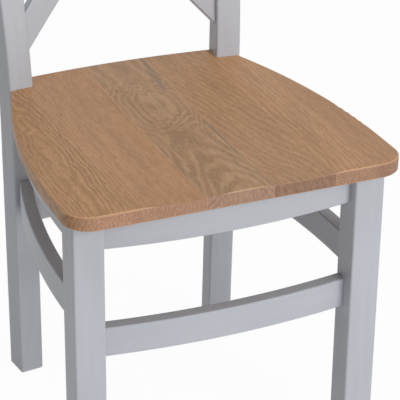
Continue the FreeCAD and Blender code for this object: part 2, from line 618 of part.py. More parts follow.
def side_rail(name, thickness, bottom, height, both_edges):
    limits = ("0", "face_y + leg_side / 2", "seat_half_width",
              f"{name}_back_depth + rear_rail_setback - leg_side / 2")
    return bowed_rail(name, f"{name}_radius", f"{name}_radius - {thickness}", f"{name}_centre_x",
                      f"{name}_centre_y", bottom, height, limits, both_edges)


def rear_rail(name, thickness, bottom, height, both_edges):
    reach = f"({name}_end_x + back_leg_width / 3)"
    limits = ("-" + reach, f"face_y + {name}_end_depth - leg_side", "2 * " + reach, "3 * leg_side")
    return bowed_rail(name, f"{name}_radius + {thickness}", f"{name}_radius", "0",
                      f"{name}_centre_y", bottom, height, limits, both_edges)


side_apron_blank = side_rail("side_apron", "apron_thickness", "apron_bottom", "apron_height", False)
side_stretcher_blank = side_rail("side_stretcher", "stretcher_thickness",
                                 "side_stretcher_bottom", "stretcher_height", True)
rear_apron_blank = rear_rail("rear_apron", "apron_thickness", "apron_bottom", "apron_height", False)
rear_stretcher_blank = rear_rail("rear_stretcher", "stretcher_thickness",
                                 "rear_stretcher_bottom", "stretcher_height", True)

# Seat board: outline, eased edges, then the two hollows.
seat_body = make_body("seat_board")
sketch = make_sketch(seat_body, "XY_Plane", "seat_outline")
add_outline(
    sketch,
    [("-seat_corner_x", "seat_front_y"), ("seat_corner_x", "seat_front_y"),
     ("seat_half_width", "seat_corner_y"), ("seat_half_width", "seat_side_y"),
     ("seat_side_end_x", "seat_side_end_y"), ("seat_back_x", "seat_back_y"),
     ("-seat_back_x", "seat_back_y"), ("-seat_side_end_x", "seat_side_end_y"),
     ("-seat_half_width", "seat_side_y"), ("-seat_half_width", "seat_corner_y")],
    {1: ("seat_corner_radius", 1), 3: ("seat_side_radius", 1), 5: ("seat_back_radius", 1),
     7: ("seat_side_radius", 1), 9: ("seat_corner_radius", 1)},
)
feature = pad(seat_body, sketch, "seat_thickness_pad", "seat_thickness")
feature = ease(seat_body, feature, "seat_upper_edge", "Fillet", "seat_top_round",
               lambda edge: level(edge, size("seat_thickness")))
ease(seat_body, feature, "seat_lower_edge", "Chamfer", "seat_under_ease",
     lambda edge: level(edge, 0))
place(seat_body, z="seat_under")
hollows = []
for number, side in enumerate(("-1", "1")):
    wheel = doc.addObject("Part::Torus", f"seat_hollow_{number}")
    bind(wheel, Radius1="hollow_wheel_radius - hollow_tread_radius", Radius2="hollow_tread_radius")
    place(wheel, f"({side}) * hollow_side", "seat_front_y + hollow_back",
          "seat_height - hollow_depth + hollow_wheel_radius", "0; 1; 0", "90")
    hollows.append(wheel)

# The leaning plane carries the crest rail and the crossed bars.
plane_place = ("0", "plane_base_y", "plane_base_z", "-1; 0; 0", "back_plane_lean")


def plan_band(name, front_y, rear_y, front_radius, rear_radius):
    body = make_body(name)
    plan = make_sketch(body, "XY_Plane", name + "_outline")
    add_outline(plan,
                [("-plan_half", front_y), ("plan_half", front_y),
                 ("plan_half", rear_y), ("-plan_half", rear_y)],
                {0: (front_radius, -1), 2: (rear_radius, 1)})
    pad(body, plan, name + "_pad", "2 * shoulder_height", midplane=True)
    place(body, *plane_place)
    return body


bar_band = plan_band("bar_band", "bar_plan_front_y", "bar_plan_rear_y",
                     "bar_radius", "bar_rear_radius")
crest_band = plan_band("crest_band", "crest_plan_front_y", "crest_plan_rear_y",
                       "crest_radius", "crest_rear_radius")
bar_face = make_body("cross_bar_face")
sketch = make_sketch(bar_face, "XZ_Plane", "cross_bar_outline")
add_outline(sketch, [("bar_blank_low_x", "-bar_low_under"), ("bar_blank_low_x", "-bar_low_over"),
                     ("-bar_blank_high_x", "-bar_high_over"),
                     ("-bar_blank_high_x", "-bar_high_under")])
pad(bar_face, sketch, "cross_bar_pad", "plan_depth", reverse=True)
place(bar_face, *plane_place)
bar_sawn = boolean("Common", "cross_bar_sawn", bar_face, bar_band)
bar_a_full = rounded("cross_bar_a_full", "Fillet", bar_sawn, "bar_round",
                     lambda edge: edge.Length > size("bar_end_x"))
bar_b_full = mirror("cross_bar_b_full", bar_a_full)

crest_face = make_body("crest_face")
sketch = make_sketch(crest_face, "XZ_Plane", "crest_outline")
add_outline(sketch, [("-crest_half_length", "0"), ("crest_half_length", "0"),
                     ("crest_half_length", "crest_height"), ("-crest_half_length", "crest_height")],
            {2: ("crest_arch_radius", 1)})
feature = pad(crest_face, sketch, "crest_pad", "plan_depth", reverse=True)
ease(crest_face, feature, "crest_corners", "Fillet", "crest_corner_radius",
     lambda edge: edge.Length > size("crest_height") and edge.BoundBox.YLength > size("leg_side")
     and edge.BoundBox.ZMin > size("crest_height") / 2)
place(crest_face, *plane_place)
crest_sawn = boolean("Common", "crest_sawn", crest_face, crest_band)
doc.recompute()
crest_underside = crest_sawn.Shape.BoundBox.ZMin + size("crest_thickness") / 2
crest_blank = rounded("crest_blank", "Fillet", crest_sawn, "crest_round",
                      lambda edge: edge.BoundBox.ZMax > crest_underside)

# Dowels: each one stands half in each of the two pieces it joins.


def dowel(name, x, y, z, way_x, way_y, length="dowel_length", diameter="dowel_diameter"):
    """Level dowel about the point (x, y, z), along (way_x, way_y)."""
    return cylinder(name, diameter + " / 2", length,
                    f"{x} - ({way_x}) * {length} / 2", f"{y} - ({way_y}) * {length} / 2", z,
                    f"-({way_y}); {way_x}; 0", "90")


def rail_dowels(rail, thickness, middle, first_drop):
    """Two dowels at each end of a front, side or rear rail on the right of the chair."""
    pins = []
    for number in (0, 1):
        z = f"{middle} + ({first_drop} + {2 * number}) * dowel_step"
        if rail.startswith("front"):
            pins.append(dowel(f"{rail}_dowel_{number}", "front_clear_half",
                              f"face_y + {rail}_setback + {thickness} / 2", z, "1", "0"))
        elif rail.startswith("side"):
            front_x = f"{rail}_front_x - {thickness} / 2"
            pins.append(dowel(f"{rail}_front_dowel_{number}", front_x, "face_y + leg_side",
                              z, "0", "1"))
            back_x = f"{rail}_back_x - {thickness} / 2 * cos({rail}_turn)"
            back_y = f"face_y + {rail}_back_depth"
            pins.append(dowel(f"{rail}_back_dowel_{number}", back_x, back_y, z,
                              f"-sin({rail}_turn)", f"cos({rail}_turn)"))
        else:
            pins.append(dowel(f"{rail}_dowel_{number}",
                              f"{rail}_end_x + {thickness} / 2 * sin(back_yaw)",
                              f"face_y + {rail}_end_depth + {thickness} / 2 * cos(back_yaw)",
                              z, "cos(back_yaw)", "-sin(back_yaw)"))
    return pins


def both_sides(name, members):
    right = group(name + "_right", members)
    return [right, mirror(name + "_left", right)]


apron_dowels = group("apron_dowels", both_sides("apron_dowel_set", (
    rail_dowels("front_apron", "apron_thickness", "front_apron_mid", -2)
    + rail_dowels("side_apron", "apron_thickness", "side_apron_mid", -1)
    + rail_dowels("rear_apron", "apron_thickness", "rear_apron_mid", -2))))
stretcher_dowels = group("stretcher_dowels", both_sides("stretcher_dowel_set", (
    rail_dowels("front_stretcher", "stretcher_thickness", "front_stretcher_mid", -1)
    + rail_dowels("side_stretcher", "stretcher_thickness", "side_stretcher_mid", -1)
    + rail_dowels("rear_stretcher", "stretcher_thickness", "rear_stretcher_mid", -1))))

# Crest dowels follow the lean; each crossed bar has one dowel at either end.
crest_pins = []
for number, side in enumerate(("-1", "1")):
    away = "crest_thickness / 2"
    crest_pins.append(cylinder(
        f"crest_dowel_{number}", "dowel_diameter / 2", "dowel_length",
        f"shoulder_x + ({side}) * crest_dowel_half_gap",
        f"face_y + shoulder_depth + {away} * cos(back_plane_lean)"
        " - dowel_length / 2 * sin(back_plane_lean)",
        f"shoulder_height - {away} * sin(back_plane_lean)"
        " - dowel_length / 2 * cos(back_plane_lean)",
        "-1; 0; 0", "back_plane_lean"))
crest_rail_dowels = group("crest_rail_dowels", both_sides("crest_dowel_set", crest_pins))

bar_pins = []
for name, x, drop in (("low", "bar_end_x", "bar_drop"), ("high", "bar_top_x", "bar_top_drop")):
    mid_y = f"bar_{name}_mid_y"
    bar_pins.append(dowel(
        f"cross_bar_{name}_dowel", x,
        f"face_y + shoulder_depth + {mid_y} * cos(back_plane_lean) - {drop} * sin(back_plane_lean)",
        f"shoulder_height - {mid_y} * sin(back_plane_lean) - {drop} * cos(back_plane_lean)",
        "1", "0", "bar_dowel_length", "bar_dowel_diameter"))
cross_bar_dowels = group("cross_bar_dowels", both_sides("cross_bar_dowel_set", bar_pins))

# Corner blocks: a wedge from the leg's middle to the middles of both aprons, cut to fit.
def corner_block(corner):
    body = make_body(corner + "_block_blank")
    outline = make_sketch(body, "XY_Plane", corner + "_block_outline")
    add_outline(outline, [(f"{corner}_block_leg_x", f"{corner}_block_leg_y"),
                          (f"{corner}_block_run_x", f"{corner}_block_run_y"),
                          (f"{corner}_block_reach_x", f"{corner}_block_reach_y")])
    pad(body, outline, corner + "_block_pad", "block_height")
    place(body, z="block_bottom")
    return body


def screw(name, length, *placing):
    """Countersunk screw along its own +Z, head at the origin, with a driving socket."""
    body = make_body(name)
    section = make_sketch(body, "XZ_Plane", name + "_section")
    add_outline(section, [("0", "screw_slot_depth"), ("slot_radius", "screw_slot_depth"),
                          ("slot_radius", "0"), ("head_radius", "0"),
                          ("shank_radius", "screw_head_depth"), ("shank_radius", length),
                          ("0", length)])
    turned = body.newObject("PartDesign::Revolution", name + "_turned")
    turned.Profile = section
    turned.ReferenceAxis = (section, ["V_Axis"])
    turned.Angle = 360
    section.Visibility = False
    place(body, *placing)
    doc.recompute()
    return body


front_block_body = corner_block("front")
rear_block_body = corner_block("rear")
block_pins, seat_pins = [], []
for corner in ("front", "rear"):
    block_pins.append(screw(
        f"{corner}_block_screw", "block_screw_length", f"{corner}_screw_x", f"{corner}_screw_y",
        "block_screw_z", f"-{corner}_way_y; {corner}_way_x; 0", "90"))
    seat_pins.append(screw(
        f"{corner}_seat_screw", "seat_screw_length", f"{corner}_seat_screw_x",
        f"{corner}_seat_screw_y", "block_bottom"))
corner_block_screws = group("corner_block_screws", both_sides("block_screw_set", block_pins))
seat_screws = group("seat_screws", both_sides("seat_screw_set", seat_pins))


def screw_space(name, length, *placings):
    """The room a set of screws takes, sockets filled."""
    members = []
    for number, placing in enumerate(placings):
        x, y, z, axis, angle = placing
        shank = cylinder(f"{name}_shank_{number}", "shank_radius", length, x, y, z, axis, angle)
        head = doc.addObject("Part::Cone", f"{name}_head_{number}")
        bind(head, Radius1="head_radius", Radius2="shank_radius", Height="screw_head_depth")
        place(head, x, y, z, axis, angle)
        members.append(boolean("Fuse", f"{name}_room_{number}", shank, head))
    return group(name + "_room", both_sides(name + "_room_set", members))


block_screw_room = screw_space("block_screw", "block_screw_length", *[
    (f"{corner}_screw_x", f"{corner}_screw_y", "block_screw_z",
     f"-{corner}_way_y; {corner}_way_x; 0", "90") for corner in ("front", "rear")])
seat_screw_room = screw_space("seat_screw", "seat_screw_length", *[
    (f"{corner}_seat_screw_x", f"{corner}_seat_screw_y", "block_bottom", "0; 0; 1", "0")
    for corner in ("front", "rear")])

# Every piece cut to its neighbours.
nodes = {}


def keep(name, piece, left_name=None):
    piece.Label = name
    nodes[name] = piece
    if left_name:
        other = mirror(left_name, piece)
        nodes[left_name] = other


front_apron = cut("front_apron", front_apron_blank, front_leg_pair, apron_dowels, block_screw_room)
front_stretcher = cut("front_stretcher", front_stretcher_blank, front_leg_pair, stretcher_dowels)
side_apron = cut("side_apron", side_apron_blank, front_leg_body, back_leg_blank, apron_dowels)
side_stretcher = cut("side_stretcher", side_stretcher_blank, front_leg_body, back_leg_blank,
                     stretcher_dowels)
rear_apron = cut("rear_apron", rear_apron_blank, back_leg_pair, apron_dowels)
rear_stretcher = cut("rear_stretcher", rear_stretcher_blank, back_leg_pair, stretcher_dowels)
front_leg = cut("front_leg", front_leg_body, apron_dowels, stretcher_dowels, block_screw_room)
back_leg = cut("back_leg", back_leg_blank, apron_dowels, stretcher_dowels, crest_rail_dowels,
               cross_bar_dowels, block_screw_room)
crest_rail = cut("crest_rail", crest_blank, crest_rail_dowels)
front_block = cut("front_block", front_block_body, front_leg_body, front_apron_blank,
                  side_apron_blank, block_screw_room, seat_screw_room)
rear_block = cut("rear_block", rear_block_body, back_leg_blank, rear_apron_blank,
                 side_apron_blank, block_screw_room, seat_screw_room)

# Crossed bars halved into each other: one keeps its front half, the other its rear half.
middle_roll = cylinder("cross_bar_middle", "bar_mid_radius", "2 * shoulder_height",
                       "0", "middle_roll_y", "middle_roll_z", "-1; 0; 0", "back_plane_lean")
rear_half = boolean("Cut", "cross_bar_rear_half", bar_b_full, middle_roll)
front_half = boolean("Common", "cross_bar_front_half", bar_a_full, middle_roll)
cross_bar_a = cut("cross_bar_a", bar_a_full, rear_half, back_leg_pair, cross_bar_dowels)
cross_bar_b = cut("cross_bar_b", bar_b_full, front_half, back_leg_pair, cross_bar_dowels)

keep("front_leg_right", front_leg, "front_leg_left")
keep("back_leg_right", back_leg, "back_leg_left")
keep("front_apron", front_apron)
keep("side_apron_right", side_apron, "side_apron_left")
keep("rear_apron", rear_apron)
keep("front_stretcher", front_stretcher)
keep("side_stretcher_right", side_stretcher, "side_stretcher_left")
keep("rear_stretcher", rear_stretcher)
keep("cross_bar_a", cross_bar_a)
keep("cross_bar_b", cross_bar_b)
keep("crest_rail", crest_rail)

# Seat: hollowed, notched round the uprights, then parted at the glue joints into its staves.
seat_fitted = cut("seat_fitted", seat_body, *hollows, back_leg_pair, seat_screw_room)
joints = ["-(seat_half_width + blank_margin)", "stave_joint_one", "stave_joint_two",
          "stave_joint_three", "stave_joint_four", "stave_joint_five",
          "seat_half_width + blank_margin"]
for number in range(len(joints) - 1):
    left, right = joints[number], joints[number + 1]
    slot = box(f"stave_slot_{number + 1}", left, "seat_front_y", "seat_under",
               f"{right} - ({left})", "seat_overhang + seat_back_depth + seat_thickness",
               "seat_thickness")
    stave = boolean("Common", f"seat_stave_{number + 1}_piece", seat_fitted, slot)
    keep(f"seat_stave_{number + 1}", stave)

keep("corner_block_front_right", front_block, "corner_block_front_left")
keep("corner_block_rear_right", rear_block, "corner_block_rear_left")
keep("apron_dowels", apron_dowels)
keep("stretcher_dowels", stretcher_dowels)
keep("crest_rail_dowels", crest_rail_dowels)
keep("cross_bar_dowels", cross_bar_dowels)
keep("corner_block_screws", corner_block_screws)
keep("seat_screws", seat_screws)

doc.recompute()
for item in doc.Objects:
    if "Invalid" in item.State or "Error" in item.State:
        raise RuntimeError(f"{item.Name} did not compute: {item.getStatusString()}")
for name, piece in nodes.items():
    if piece.Shape.isNull() or not piece.Shape.isValid():
        raise RuntimeError(f"{name} has no sound shape")

os.makedirs("parts", exist_ok=True)
for name, piece in nodes.items():
    piece.Shape.exportStep(f"parts/{name}.step")
    box_of = piece.Shape.BoundBox
    print(f"{name}: {len(piece.Shape.Solids)} solid, volume {piece.Shape.Volume:.0f}, "
          f"x {box_of.XMin:.2f} to {box_of.XMax:.2f}, y {box_of.YMin:.2f} to {box_of.YMax:.2f}, "
          f"z {box_of.ZMin:.2f} to {box_of.ZMax:.2f}")
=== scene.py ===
"""Cross back dining chair: painted frame and oak stave seat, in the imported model's frame."""
import math

import bmesh
import bpy
from bpy.props import FloatProperty, FloatVectorProperty, PointerProperty
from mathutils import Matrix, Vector


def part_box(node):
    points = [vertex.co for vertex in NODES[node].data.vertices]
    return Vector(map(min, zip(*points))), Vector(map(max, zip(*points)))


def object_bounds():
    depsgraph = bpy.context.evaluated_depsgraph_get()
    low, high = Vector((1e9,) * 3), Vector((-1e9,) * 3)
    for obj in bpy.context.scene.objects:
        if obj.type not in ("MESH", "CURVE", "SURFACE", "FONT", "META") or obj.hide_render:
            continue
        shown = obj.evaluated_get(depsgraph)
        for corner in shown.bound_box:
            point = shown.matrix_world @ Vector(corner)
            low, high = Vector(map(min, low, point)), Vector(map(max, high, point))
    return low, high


bl_info = {
    "name": "Cross Back Chair",
    "version": (1, 0, 0),
    "blender": (4, 5, 0),
    "location": "3D View > Sidebar > Chair",
    "description": "Finishes of a painted cross back chair with an oak seat, and its studio",
    "category": "Object",
}

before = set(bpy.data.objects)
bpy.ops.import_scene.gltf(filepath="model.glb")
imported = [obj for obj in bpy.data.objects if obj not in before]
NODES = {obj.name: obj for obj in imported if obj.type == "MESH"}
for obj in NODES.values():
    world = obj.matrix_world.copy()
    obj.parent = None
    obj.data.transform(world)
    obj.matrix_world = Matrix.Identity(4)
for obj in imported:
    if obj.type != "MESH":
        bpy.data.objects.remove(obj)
CAD_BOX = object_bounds()
# Depths on the seat are measured from the front legs' front faces.
FACE_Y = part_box("front_leg_left")[0][1]
SEAT_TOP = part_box("seat_stave_6")[1][2]

# Directions across the chair, towards its back and up, and the ways that timber runs.
RIGHT, BACK, UP = (1.0, 0.0, 0.0), (0.0, 1.0, 0.0), (0.0, 0.0, 1.0)
RISING, FALLING = (1.0, 1.0, 0.0), (1.0, -1.0, 0.0)
LEANING = (0.0, 0.06, 1.0)
# Every painted piece with the way its timber and its brush strokes run.
PAINTED = {
    "front_leg_left": UP, "front_leg_right": UP,
    "back_leg_left": LEANING, "back_leg_right": LEANING,
    "front_apron": RIGHT, "rear_apron": RIGHT, "front_stretcher": RIGHT,
    "rear_stretcher": RIGHT, "crest_rail": RIGHT,
    "side_apron_left": BACK, "side_apron_right": BACK,
    "side_stretcher_left": BACK, "side_stretcher_right": BACK,
    "cross_bar_a": (-0.70, 0.10, 0.70), "cross_bar_b": (0.70, 0.10, 0.70),
}
# The corner blocks stand across their corners.
BLOCKS = {"corner_block_front_left": FALLING, "corner_block_front_right": RISING,
          "corner_block_rear_left": RISING, "corner_block_rear_right": FALLING}
DOWELS = ["apron_dowels", "stretcher_dowels", "crest_rail_dowels", "cross_bar_dowels"]
SCREWS = ["corner_block_screws", "seat_screws"]

# The camera's place, turn and shift were solved from the photograph's own edges.
CAMERA_PLACE = (-0.8737, -1.8902 + FACE_Y, 1.4841)
CAMERA_AZIMUTH, CAMERA_ELEVATION = math.radians(-22.207), math.radians(27.734)
CAMERA_SHIFT = (0.1031, 0.0779)
CAMERA_SENSOR, CAMERA_REACH = 36.0, 50.0
# Place and size of the softboxes, which both point at one place in the chair.
FRONT_PLACE, FRONT_SIZE = (1.35, -4.2, 1.95), 2.4
TOP_PLACE, TOP_SIZE = (0.0, -0.5, 2.9), 1.6
LIGHT_AIM = (0.0, 0.0, 0.45)
WHITE = (1.0, 1.0, 1.0, 1.0)
FLOOR_HALF, FLOOR_DARK, FLOOR_PALE = 6.0, 0.93, 0.95
# Share of the lit floor, with the chair's shadow, that stays in the white that is shown.
FLOOR_KEPT = 0.04

# Tints of the oak's parts and of the painted highlight on its arris, as shares of a stave's own
# colour, and the colour of its stains.
LATE_TINT, FLECK_TINT, ARRIS_HIGHLIGHT_TINT = (1.22, 1.30, 1.42), (0.80, 0.88, 1.02), (1.42, 1.56, 1.85)
END_TINT, RAY_TINT, END_RING_TINT = (0.84, 0.87, 1.12), (1.14, 1.24, 1.66), (0.62, 0.58, 0.72)
STAIN_COLOUR = (0.150, 0.117, 0.090)
# Step between the staves' places in the noise, so that no two boards look alike.
SEED_STEP = 1.37


class Link:
    """One value of a node tree, so that shader maths reads as Python expressions."""

    def __init__(self, shader, socket):
        self.shader, self.socket = shader, socket

    def _math(self, operation, *values):
        return self.shader.node("ShaderNodeMath", {"operation": operation}, *values)

    def __add__(self, other):
        return self._math("ADD", self, other)

    def __radd__(self, other):
        return self._math("ADD", other, self)

    def __sub__(self, other):
        return self._math("SUBTRACT", self, other)

    def __rsub__(self, other):
        return self._math("SUBTRACT", other, self)

    def __mul__(self, other):
        return self._math("MULTIPLY", self, other)

    def __truediv__(self, other):
        return self._math("DIVIDE", self, other)

    def fract(self):
        """What is left of the value above its last whole number."""
        return self._math("FRACT", self)

    def size(self):
        """The value without its sign."""
        return self._math("ABSOLUTE", self)

    def root(self):
        return self._math("SQRT", self)

    def most(self, other):
        """The larger of two values."""
        return self._math("MAXIMUM", self, other)

    def band(self, low, high, to_low=0.0, to_high=1.0):
        """The value's place between low and high, eased and kept between the results."""
        return self.shader.node(
            "ShaderNodeMapRange", {"interpolation_type": "SMOOTHSTEP", "clamp": True},
            self, low, high, to_low, to_high)


class Shader:
    """Builds the node tree of one material or of the world."""

    def __init__(self, owner):
        self.owner = owner
        owner.use_nodes = True
        self.tree = owner.node_tree

    def node(self, kind, settings=None, *values, output=0, **named):
        """One node: its settings first, then its sockets by order or by name."""
        made = self.tree.nodes.new(kind)
        for key, value in (settings or {}).items():
            setattr(made, key, value)
        for number, value in enumerate(values):
            self.feed(made.inputs[number], value)
        for key, value in named.items():
            self.feed(next(item for item in made.inputs
                           if item.enabled and item.name.replace(" ", "_") == key), value)
        return Link(self, made.outputs[output])

    def feed(self, socket, value):
        """Links a value to a socket, or writes a constant into it."""
        if isinstance(value, Link):
            self.tree.links.new(value.socket, socket)
        else:
            socket.default_value = value

    def combine(self, operation, *values, output=0, **named):
        """Vector maths, which leads to a vector or, as output "Value", to a number."""
        return self.node("ShaderNodeVectorMath", {"operation": operation}, *values,
                         output=output, **named)

    def place(self):
        """The place on the object in metres, in the model's own frame."""
        return self.node("ShaderNodeTexCoord", {}, output="Object")

    def axes(self, place):
        return [self.node("ShaderNodeSeparateXYZ", {}, place, output=axis) for axis in "XYZ"]

    def noise(self, place, scale=1.0, detail=2.0, rough=0.5):
        return self.node("ShaderNodeTexNoise", {"noise_dimensions": "3D"},
                         Vector=place, Scale=scale, Detail=detail, Roughness=rough)

    def speckle(self, axes, scales, shift, detail=2.0, rough=0.5):
        """Noise with its own scale along each axis, moved off by the shift."""
        moved = [axis * scale + far if far else axis * scale
                 for axis, scale, far in zip(axes, scales, shift)]
        return self.noise(self.node("ShaderNodeCombineXYZ", {}, *moved),
                          detail=detail, rough=rough)

    def fibres(self, place, way, fine, coarse, detail=2.0, rough=0.5):
        """Noise drawn out along a direction: fine across it and coarse along it."""
        way = Vector(way).normalized()
        run = self.combine("DOT_PRODUCT", place, way, output="Value")
        back = self.combine("SCALE", way, Scale=run * (coarse - fine))
        drawn = self.combine("ADD", self.combine("SCALE", place, Scale=fine), back)
        return self.noise(drawn, detail=detail, rough=rough)

    def blend(self, factor, first, second):
        return self.node("ShaderNodeMix", {"data_type": "RGBA"},
                         output="Result", Factor=factor, A=first, B=second)

    def coats(self, tone, *coats):
        """Colours laid over a tone one after the other, each by its own mask."""
        for mask, colour in coats:
            tone = self.blend(mask, tone, colour)
        return tone

    def facing(self, way):
        """How squarely the true surface looks along a direction, either way."""
        true = self.node("ShaderNodeNewGeometry", {}, output="True Normal")
        return self.combine("DOT_PRODUCT", true, way, output="Value").size()

    def edges(self, reach):
        """Mask for painted highlights: bright on convex edges, within about the reach of them."""
        eased = self.node("ShaderNodeBevel", {"samples": 8}, Radius=reach)
        true = self.node("ShaderNodeNewGeometry", {}, output="Normal")
        return (1.0 - self.combine("DOT_PRODUCT", eased, true, output="Value")).band(0.01, 0.16)

    def bump(self, height, strength, distance):
        return self.node("ShaderNodeBump", {}, Strength=strength, Distance=distance,
                         Height=height)

    def finish(self, colour, roughness, normal=None, **constants):
        """Feeds the surface what varies, writes its constants and returns the material."""
        surface = self.tree.nodes["Principled BSDF"]
        self.feed(surface.inputs["Base Color"], colour)
        self.feed(surface.inputs["Roughness"], roughness)
        if normal:
            self.feed(surface.inputs["Normal"], normal)
        for name, value in constants.items():
            surface.inputs[name.replace("_", " ")].default_value = value
        return self.owner

    def shown_white(self, kept=0.0):
        """1 for the camera, mirrors and glass, less a kept share, and 0 for plain light."""
        seen = self.node("ShaderNodeLightPath", {}, output="Is Camera Ray")
        for ray in ("Is Glossy Ray", "Is Transmission Ray"):
            seen = seen.most(self.node("ShaderNodeLightPath", {}, output=ray))
        return seen * (1.0 - kept)


def new_material(name):
    return Shader(bpy.data.materials.new(name))


def shade(colour, level=1.0):
    """A colour made lighter or darker, ready for a colour socket."""
    return tuple(min(1.0, value * level) for value in colour) + (1.0,)


def tinted(colour, tint):
    """A colour times a tint, channel by channel."""
    return [value * share for value, share in zip(colour, tint)]


def paint(node, colour, way):
    """Satin paint over hardwood: brushed along the piece, grain just showing through, with a
    painted highlight on its edges.
    """
    shader = new_material("satin_paint_" + node)
    place = shader.place()
    strokes = shader.fibres(place, way, fine=420.0, coarse=16.0, detail=3.0, rough=0.55)
    grain = shader.fibres(place, way, fine=95.0, coarse=5.0)
    pores = shader.fibres(place, way, fine=1500.0, coarse=110.0).band(0.62, 0.74)
    cloud = shader.noise(place, scale=4.5)
    tone = shader.coats(
        shade(colour),
        (cloud.band(0.32, 0.70), shade(colour, 0.955)),
        (grain.band(0.40, 0.72) * 0.6, shade(colour, 1.04)),
        (strokes.band(0.45, 0.8) * 0.35, shade(colour, 0.94)),
        (pores * 0.22, shade(colour, 0.72)),
        # Painted highlight: the convex edges are lightened where their rounding catches the
        # light.
        (shader.edges(reach=0.0016) * 0.35, shade(colour, 1.16)))
    height = strokes * 0.55 + grain * 0.35 - pores * 0.6
    normal = shader.bump(height, strength=0.16, distance=0.0004)
    return shader.finish(tone, 0.38 + strokes * 0.10 + cloud * 0.05, normal,
                         Specular_IOR_Level=0.42)


def oak_rings(shader, axes, seed, board):
    """The rings about a wandering heart: their ripple, pale core, early and late wood."""
    x, y, z = axes
    depth = y - FACE_Y
    # A slow drift bends the rings, a quick one ripples them, and a jagged one along the
    # fibres draws them out into flames where they cross the board.
    slow = shader.speckle(axes, (9.0, 6.0, 9.0), (seed, 0.0, 0.0), detail=1.0) - 0.5
    quick = shader.speckle(axes, (42.0, 30.0, 42.0), (0.0, seed, 0.0), detail=3.0,
                           rough=0.55) - 0.5
    jag = shader.speckle(axes, (95.0, 20.0, 95.0), (0.0, seed, 0.0)) - 0.5
    breaks = quick + jag
    drawn = depth + jag * board["jag"]
    eye_half = board["eye_half"]
    eye = (drawn - board["eye_depth"]).size().band(eye_half * 1.6, eye_half * 0.4)
    across = x - board["heart"] + depth * board["slant"] + slow * board["wander"]
    below = (z - SEAT_TOP + board["heart_down"] - eye * board["swell"]
             - drawn.band(0.15, -0.12) * board["lift"])
    radius = (across * across + below * below).root() + quick * board["ripple"]
    # Where a board comes nearest to the heart, the innermost rings run together in one pale
    # core. A ring's phase runs from 0 to 1: early wood opens it and late wood closes it.
    core = radius.band(board["core"] + 0.002, board["core"]) * breaks.band(-0.30, -0.05)
    phase = (radius / board["ring"]).fract()
    early = phase.band(0.0, 0.10) * phase.band(0.62, 0.30) * (core * -0.85 + 1.0)
    late = phase.band(0.52, 0.70) * phase.band(1.0, 0.86) * breaks.band(-0.24, 0.06)
    return quick, core, early, late


def oak_stains(shader, axes, quick, fibre, stains):
    """Dark streaks, each in the fibres about a line through its middle."""
    x, depth = axes[0], axes[1] - FACE_Y
    coats = []
    for streak_x, lean, middle, half_length, half_width, strength in stains:
        along = depth - middle
        away = (x - streak_x - along * lean + quick * 0.003).size()
        mask = (away.band(half_width, half_width * 0.2)
                * along.size().band(half_length, half_length * 0.45)
                * fibre.band(0.25, 0.60, 0.45, 1.0) * strength)
        coats.append((mask, shade(STAIN_COLOUR)))
    return coats


def oak(number, colour, board):
    """One oiled seat stave, whose top, edges and ends agree because the rings are solid."""
    shader = new_material(f"oiled_oak_stave_{number}")
    place = shader.place()
    axes = shader.axes(place)
    seed = SEED_STEP * number
    quick, core, early, late = oak_rings(shader, axes, seed, board)
    patch = shader.speckle(axes, (14.0, 8.0, 14.0), (seed, 0.0, 0.0))
    fleck = shader.speckle(axes, (210.0, 120.0, 210.0), (0.0, seed, 0.0), detail=1.0)
    broad = shader.fibres(place, BACK, fine=34.0 + seed, coarse=5.0)
    streak = shader.fibres(place, BACK, fine=170.0 + seed, coarse=9.0, rough=0.55)
    fibre = shader.fibres(place, BACK, fine=640.0, coarse=62.0, detail=3.0, rough=0.65)
    vessel = shader.fibres(place, BACK, fine=1700.0, coarse=70.0 + seed, detail=1.0)
    late = (late * broad.band(0.30, 0.62, 0.45, 1.0)).most(core * 0.75)
    pores = vessel.band(0.56, 0.68) * (early * 0.7 + 0.3)
    tint = tinted(colour, board["tint"])
    tone = shader.coats(
        shade(tint, 1.07),
        (broad.band(0.30, 0.72), shade(tint, 0.86)),
        (patch.band(0.40, 0.75) * board["blotch"], shade(tint, 0.78)),
        (late * board["figure"], shade(tinted(tint, LATE_TINT))),
        (early * board["figure"] * 0.70, shade(tint, 0.76)),
        (streak.band(0.46, 0.78) * 0.62, shade(tint, 0.70)),
        (streak.band(0.50, 0.22) * 0.40, shade(tint, 1.20)),
        (fibre.band(0.46, 0.70) * 0.55, shade(tint, 1.30)),
        (fibre.band(0.50, 0.28) * 0.55, shade(tint, 0.68)),
        (fleck.band(0.62, 0.74) * board["fleck"], shade(tinted(tint, FLECK_TINT))),
        (pores * 0.48, shade(tint, 0.50)),
        *oak_stains(shader, axes, quick, fibre, board["stains"]))
    # End grain drinks the oil: duller and redder, with pale rays.
    rays = shader.speckle(axes, (520.0, 30.0, 190.0), (0.0, 0.0, seed), detail=3.0, rough=0.6)
    end_level = board["end"]
    end_tone = shader.coats(
        shade(tinted(tint, END_TINT), end_level),
        (rays.band(0.40, 0.62) * 0.75, shade(tinted(tint, RAY_TINT), end_level)),
        (early * 0.34, shade(tinted(tint, END_RING_TINT), end_level)))
    # A painted highlight pales the rounded arris between top and edge, and the other convex
    # edges.
    level = shader.facing(UP)
    arris = level.band(0.25, 0.55) * level.band(0.985, 0.90)
    tone = shader.coats(
        tone,
        (shader.facing(BACK).band(0.55, 0.88), end_tone),
        (arris.most(shader.edges(reach=0.0012)) * 0.55, shade(tinted(tint, ARRIS_HIGHLIGHT_TINT))))
    normal = shader.bump(fibre * 0.35 - pores * 0.9 + late * 0.2, strength=0.26,
                         distance=0.0005)
    return shader.finish(tone, 0.44 + pores * 0.2 + fibre * 0.08, normal,
                         Specular_IOR_Level=0.38)


